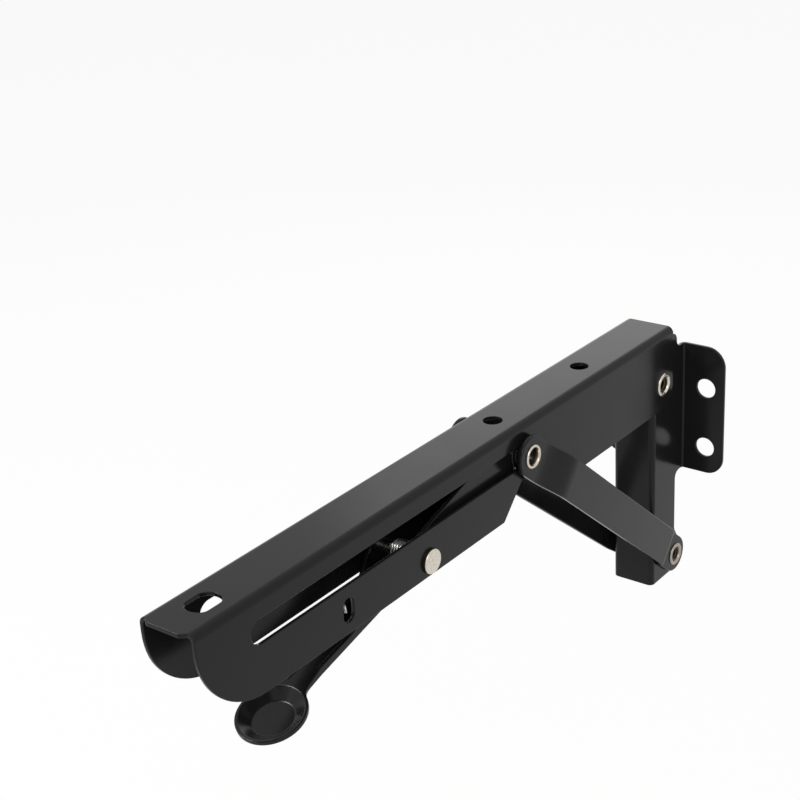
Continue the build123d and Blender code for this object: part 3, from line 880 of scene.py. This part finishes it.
class BRACKET_OT_stage(bpy.types.Operator):
    """Add the pale floor and the soft studio light"""

    bl_idname = "bracket.stage"
    bl_label = "Stage"

    def execute(self, context):
        settings = context.scene.bracket_stage
        low, high = cad_box
        middle = (low + high) / 2
        bpy.ops.mesh.primitive_plane_add(
            size=settings.floor_size, location=(middle.x, middle.y, low.z - settings.floor_drop),
        )
        floor = context.active_object
        floor.name = "floor"
        floor.data.materials.append(pale_paper(settings))
        context.scene.world = white_room(settings)
        for name, (place, size, watts) in LAMPS.items():
            bpy.ops.object.light_add(type="AREA", location=middle + Vector(place))
            lamp = context.active_object
            lamp.name = name
            lamp.data.size = size
            lamp.data.energy = watts
            lamp.rotation_euler = Vector(place).to_track_quat("Z", "Y").to_euler()
        context.scene.view_settings.view_transform = "Standard"
        return {"FINISHED"}


def sees_white(tree):
    """A socket that is 1 for rays from the camera and for gloss and transmission, and 0 for lighting."""
    path = add_node(tree, "ShaderNodeLightPath").outputs
    seen = path["Is Camera Ray"]
    for ray in ("Is Glossy Ray", "Is Transmission Ray"):
        either = add_node(
            tree, "ShaderNodeMath", {"operation": "MAXIMUM"}, links={0: seen, 1: path[ray]},
        )
        seen = either.outputs[0]
    return seen


def pale_paper(settings):
    """Matt background paper: pale and without gloss, mostly plain white to the eye, with a soft shadow."""
    material, tree, shader, place = new_material("pale paper floor")
    shader.inputs["Base Color"].default_value = settings.floor
    shader.inputs["Roughness"].default_value = 0.9
    shader.inputs["Specular IOR Level"].default_value = 0.2
    share = add_node(
        tree, "ShaderNodeMath", {"operation": "MULTIPLY"}, {1: FLOOR_WHITE}, {0: sees_white(tree)},
    )
    white = add_node(tree, "ShaderNodeEmission", values={"Color": WHITE, "Strength": 1.0})
    mixed = add_node(
        tree, "ShaderNodeMixShader",
        links={0: share.outputs[0], 1: shader.outputs[0], 2: white.outputs[0]},
    )
    tree.links.new(mixed.outputs[0], tree.nodes["Material Output"].inputs["Surface"])
    return material


def white_room(settings):
    """World of the studio: white to the eye and in gloss, and a weak light from all sides."""
    world = bpy.data.worlds.new("studio")
    world.use_nodes = True
    tree = world.node_tree
    background = tree.nodes["Background"]
    background.inputs["Color"].default_value = WHITE
    strength = add_node(
        tree, "ShaderNodeMapRange", values={"To Min": settings.room_light, "To Max": 1.0},
        links={"Value": sees_white(tree)},
    )
    tree.links.new(strength.outputs[0], background.inputs["Strength"])
    return world


class BRACKET_PT_panel(bpy.types.Panel):
    """Lists the bracket's pieces in the sidebar"""

    bl_idname = "BRACKET_PT_panel"
    bl_label = "Folding shelf bracket"
    bl_space_type = "VIEW_3D"
    bl_region_type = "UI"
    bl_category = "Bracket"

    def draw(self, context):
        for operator in PIECE_OPERATORS:
            self.layout.operator(operator.bl_idname)


PIECE_OPERATORS = (
    BRACKET_OT_camera, BRACKET_OT_wall_bracket, BRACKET_OT_arm, BRACKET_OT_struts, BRACKET_OT_release_lever,
    BRACKET_OT_slot_washers, BRACKET_OT_rivets, BRACKET_OT_bushes, BRACKET_OT_spring, BRACKET_OT_stage,
)
SETTINGS = {
    "bracket_camera": CameraSettings,
    "bracket_coat": CoatSettings,
    "bracket_arm": ArmSettings,
    "bracket_struts": StrutSettings,
    "bracket_rivets": RivetSettings,
    "bracket_bushes": BushSettings,
    "bracket_spring": SpringSettings,
    "bracket_stage": StageSettings,
}


def register():
    """Registers the classes and hangs their settings on the scene."""
    for each in (*SETTINGS.values(), *PIECE_OPERATORS, BRACKET_PT_panel):
        bpy.utils.register_class(each)
    for name, group in SETTINGS.items():
        setattr(bpy.types.Scene, name, PointerProperty(type=group))


def unregister():
    """Takes the settings and the classes away again."""
    for name in SETTINGS:
        delattr(bpy.types.Scene, name)
    for each in (BRACKET_PT_panel, *reversed(PIECE_OPERATORS), *SETTINGS.values()):
        bpy.utils.unregister_class(each)


def main():
    register()
    bpy.ops.bracket.camera()
    bpy.ops.bracket.wall_bracket()
    bpy.ops.bracket.arm()
    bpy.ops.bracket.struts()
    bpy.ops.bracket.release_lever()
    bpy.ops.bracket.slot_washers()
    bpy.ops.bracket.rivets()
    bpy.ops.bracket.bushes()
    bpy.ops.bracket.spring()
    bpy.ops.bracket.stage()


if __name__ == "__main__":
    main()
